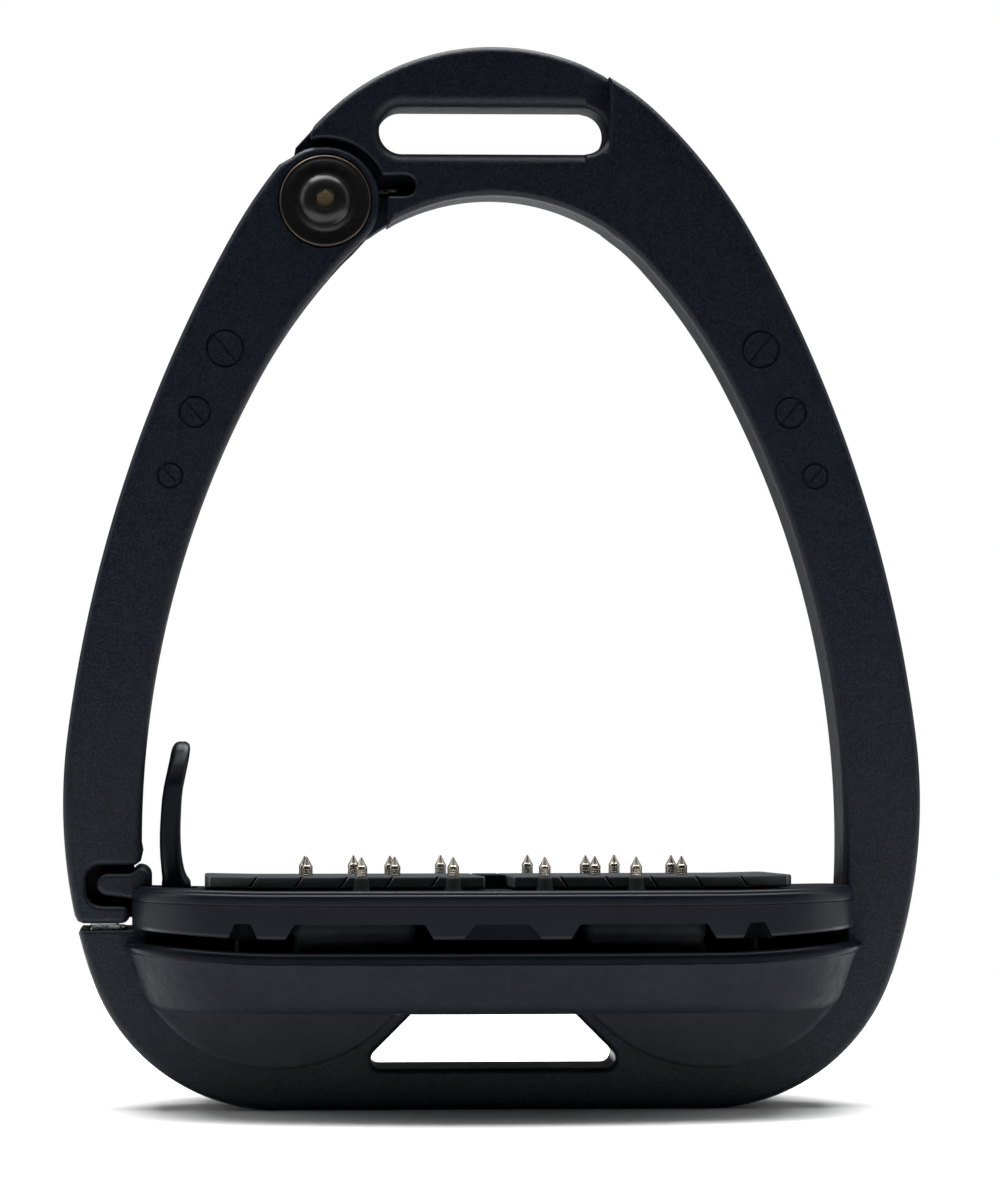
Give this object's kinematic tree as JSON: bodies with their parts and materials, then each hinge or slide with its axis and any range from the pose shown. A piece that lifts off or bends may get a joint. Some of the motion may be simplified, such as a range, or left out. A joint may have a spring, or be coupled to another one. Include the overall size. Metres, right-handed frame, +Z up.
{
  "type": "safety stirrup iron",
  "caption": "Egg-shaped stirrup iron with a leather slot, a hinged side arm that springs open past a latch, and a sprung studded foot rest with a release lever.",
  "frame": {"origin": "middle of the flat base, at the centre of the object's box seen from above", "axes": "+Z up along the iron, +X across it towards the fixed arm, +Y from its front face to its back"},
  "size_m": [0.149, 0.0812, 0.1844],
  "materials": {
    "powder_coat": "fine matte powder coat on cast metal",
    "satin_plastic": "satin moulded plastic",
    "grained_plastic": "grained moulded plastic",
    "pad_rubber": "moulded rubber",
    "elastomer": "soft elastomer",
    "stud_steel": "turned stainless steel",
    "plain_steel": "plain steel",
    "insert_brass": "plain brass",
    "black_oxide": "polished black oxide",
    "magnet_nickel": "nickel plated",
    "nylon": "plain nylon"
  },
  "bodies": {
    "frame": {"frame": "powder_coat", "frame_magnet": "magnet_nickel", "torsion_spring": "plain_steel", "front_thrust_washer": "nylon", "rear_thrust_washer": "nylon", "carrier": "grained_plastic", "left_carrier_screw": "plain_steel", "right_carrier_screw": "plain_steel", "cushion_left_front": "elastomer", "cushion_left_rear": "elastomer", "cushion_right_front": "elastomer", "cushion_right_rear": "elastomer"},
    "release_arm": {"release_arm": "powder_coat", "arm_magnet": "magnet_nickel", "pivot_bolt": "black_oxide", "pivot_cap_washer": "black_oxide", "pivot_sleeve": "plain_steel", "rear_washer": "black_oxide", "pivot_nut": "black_oxide"},
    "foot_rest": {"deck": "satin_plastic", "left_grip_pad": "pad_rubber", "right_grip_pad": "pad_rubber", "lever_pin": "plain_steel", "lever_spring": "plain_steel", "stud_left_front_1": "stud_steel", "stud_left_front_2": "stud_steel", "stud_left_front_3": "stud_steel", "stud_left_front_4": "stud_steel", "stud_left_rear_1": "stud_steel", "stud_left_rear_2": "stud_steel", "stud_left_rear_3": "stud_steel", "stud_left_rear_4": "stud_steel", "stud_right_front_1": "stud_steel", "stud_right_front_2": "stud_steel", "stud_right_front_3": "stud_steel", "stud_right_front_4": "stud_steel", "stud_right_rear_1": "stud_steel", "stud_right_rear_2": "stud_steel", "stud_right_rear_3": "stud_steel", "stud_right_rear_4": "stud_steel", "deck_screw_left_front": "black_oxide", "deck_screw_left_rear": "black_oxide", "deck_screw_right_front": "black_oxide", "deck_screw_right_rear": "black_oxide", "threaded_insert_left_front": "insert_brass", "threaded_insert_left_rear": "insert_brass", "threaded_insert_right_front": "insert_brass", "threaded_insert_right_rear": "insert_brass"},
    "release_lever": {"release_lever": "satin_plastic"}
  },
  "joints": [
    {"name": "arm_swing", "type": "hinge", "parent": "frame", "child": "release_arm", "pos_m": [-0.0292, 0, 0.1575], "axis": [0, 1, 0], "range_deg": [0, 55], "stiffness_Nm_per_rad": 0.1, "springref_deg": -57.3},
    {"name": "foot_rest_travel", "type": "slide", "parent": "frame", "child": "foot_rest", "axis": [0, 0, 1], "range_m": [-0.0015, 0], "stiffness_N_per_m": 20000, "springref_m": 0.0002, "deforming": ["cushion_left_front", "cushion_left_rear", "cushion_right_front", "cushion_right_rear"]},
    {"name": "lever_tilt", "type": "hinge", "parent": "foot_rest", "child": "release_lever", "pos_m": [-0.055, 0, 0.033], "axis": [0, -1, 0], "range_deg": [0, 7], "stiffness_Nm_per_rad": 0.2, "springref_deg": -8.59}
  ]
}
